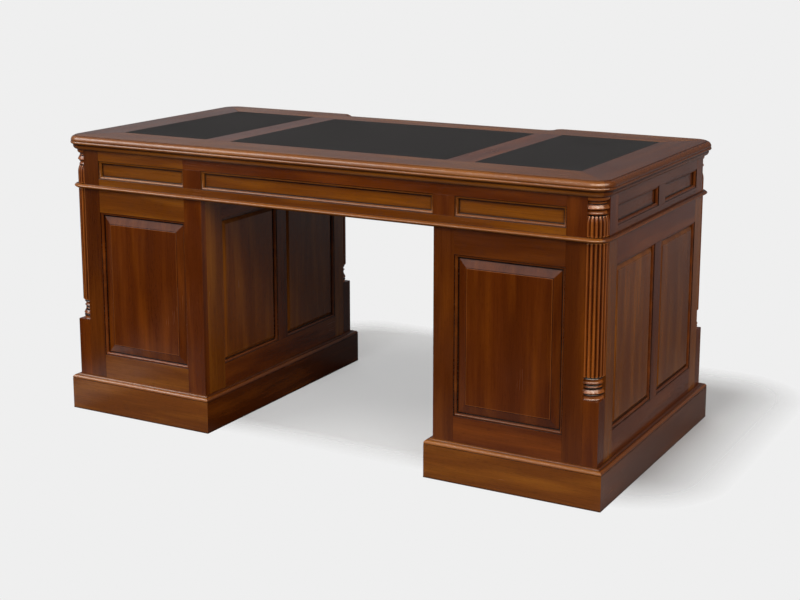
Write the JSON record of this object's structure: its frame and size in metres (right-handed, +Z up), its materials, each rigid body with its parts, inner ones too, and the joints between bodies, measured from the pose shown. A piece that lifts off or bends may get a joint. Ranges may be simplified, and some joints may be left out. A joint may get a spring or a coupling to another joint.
{
  "type": "partners desk",
  "caption": "Mahogany pedestal desk with a leather-lined top, reeded corner columns, panelled visitor side and drawers on the writer's side.",
  "frame": {"origin": "on the floor, under the middle of the case", "axes": "+Z up, +X along the length, +Y towards the writer's side, where the drawers open; -Y is the panelled visitor's side"},
  "size_m": [1.595, 0.7985, 0.78],
  "materials": {
    "mahogany": "polished",
    "turned_mahogany": "polished",
    "drawer_wood": "plain",
    "leather": "fine grain"
  },
  "bodies": {
    "desk": {"bed_moulding": "mahogany", "case_base_board": "mahogany", "centre_top_leather": "leather", "frieze_columns": "mahogany", "frieze_drawer_frame": "mahogany", "frieze_end_frames": "mahogany", "frieze_end_panels": "mahogany", "frieze_front_frame": "mahogany", "frieze_front_panels": "mahogany", "frieze_inner_boards": "drawer_wood", "left_pedestal_columns": "mahogany", "left_pedestal_corner_posts": "mahogany", "left_pedestal_drawer_frame": "mahogany", "left_pedestal_front_frame": "mahogany", "left_pedestal_front_panel": "mahogany", "left_pedestal_inner_boards": "drawer_wood", "left_pedestal_plinth": "mahogany", "left_pedestal_side_frames": "mahogany", "left_pedestal_side_panels": "mahogany", "left_top_leather": "leather", "right_pedestal_columns": "mahogany", "right_pedestal_corner_posts": "mahogany", "right_pedestal_drawer_frame": "mahogany", "right_pedestal_front_frame": "mahogany", "right_pedestal_front_panel": "mahogany", "right_pedestal_inner_boards": "drawer_wood", "right_pedestal_plinth": "mahogany", "right_pedestal_side_frames": "mahogany", "right_pedestal_side_panels": "mahogany", "right_top_leather": "leather", "top_borders": "mahogany", "top_cross_rails": "mahogany", "top_ground_boards": "drawer_wood"},
    "centre_drawer": {"centre_drawer_box": "drawer_wood", "centre_drawer_front": "mahogany", "centre_drawer_knobs": "turned_mahogany"},
    "left_bottom_drawer": {"left_bottom_drawer_box": "drawer_wood", "left_bottom_drawer_front": "mahogany", "left_bottom_drawer_knobs": "turned_mahogany"},
    "left_frieze_drawer": {"left_frieze_drawer_box": "drawer_wood", "left_frieze_drawer_front": "mahogany", "left_frieze_drawer_knobs": "turned_mahogany"},
    "left_middle_drawer": {"left_middle_drawer_box": "drawer_wood", "left_middle_drawer_front": "mahogany", "left_middle_drawer_knobs": "turned_mahogany"},
    "left_top_drawer": {"left_top_drawer_box": "drawer_wood", "left_top_drawer_front": "mahogany", "left_top_drawer_knobs": "turned_mahogany"},
    "right_bottom_drawer": {"right_bottom_drawer_box": "drawer_wood", "right_bottom_drawer_front": "mahogany", "right_bottom_drawer_knobs": "turned_mahogany"},
    "right_frieze_drawer": {"right_frieze_drawer_box": "drawer_wood", "right_frieze_drawer_front": "mahogany", "right_frieze_drawer_knobs": "turned_mahogany"},
    "right_middle_drawer": {"right_middle_drawer_box": "drawer_wood", "right_middle_drawer_front": "mahogany", "right_middle_drawer_knobs": "turned_mahogany"},
    "right_top_drawer": {"right_top_drawer_box": "drawer_wood", "right_top_drawer_front": "mahogany", "right_top_drawer_knobs": "turned_mahogany"}
  },
  "joints": [
    {"name": "centre_drawer_slide", "type": "slide", "parent": "desk", "child": "centre_drawer", "axis": [0, 1, 0], "range_m": [0, 0.42]},
    {"name": "left_bottom_drawer_slide", "type": "slide", "parent": "desk", "child": "left_bottom_drawer", "axis": [0, 1, 0], "range_m": [0, 0.42]},
    {"name": "left_frieze_drawer_slide", "type": "slide", "parent": "desk", "child": "left_frieze_drawer", "axis": [0, 1, 0], "range_m": [0, 0.42]},
    {"name": "left_middle_drawer_slide", "type": "slide", "parent": "desk", "child": "left_middle_drawer", "axis": [0, 1, 0], "range_m": [0, 0.42]},
    {"name": "left_top_drawer_slide", "type": "slide", "parent": "desk", "child": "left_top_drawer", "axis": [0, 1, 0], "range_m": [0, 0.42]},
    {"name": "right_bottom_drawer_slide", "type": "slide", "parent": "desk", "child": "right_bottom_drawer", "axis": [0, 1, 0], "range_m": [0, 0.42]},
    {"name": "right_frieze_drawer_slide", "type": "slide", "parent": "desk", "child": "right_frieze_drawer", "axis": [0, 1, 0], "range_m": [0, 0.42]},
    {"name": "right_middle_drawer_slide", "type": "slide", "parent": "desk", "child": "right_middle_drawer", "axis": [0, 1, 0], "range_m": [0, 0.42]},
    {"name": "right_top_drawer_slide", "type": "slide", "parent": "desk", "child": "right_top_drawer", "axis": [0, 1, 0], "range_m": [0, 0.42]}
  ]
}
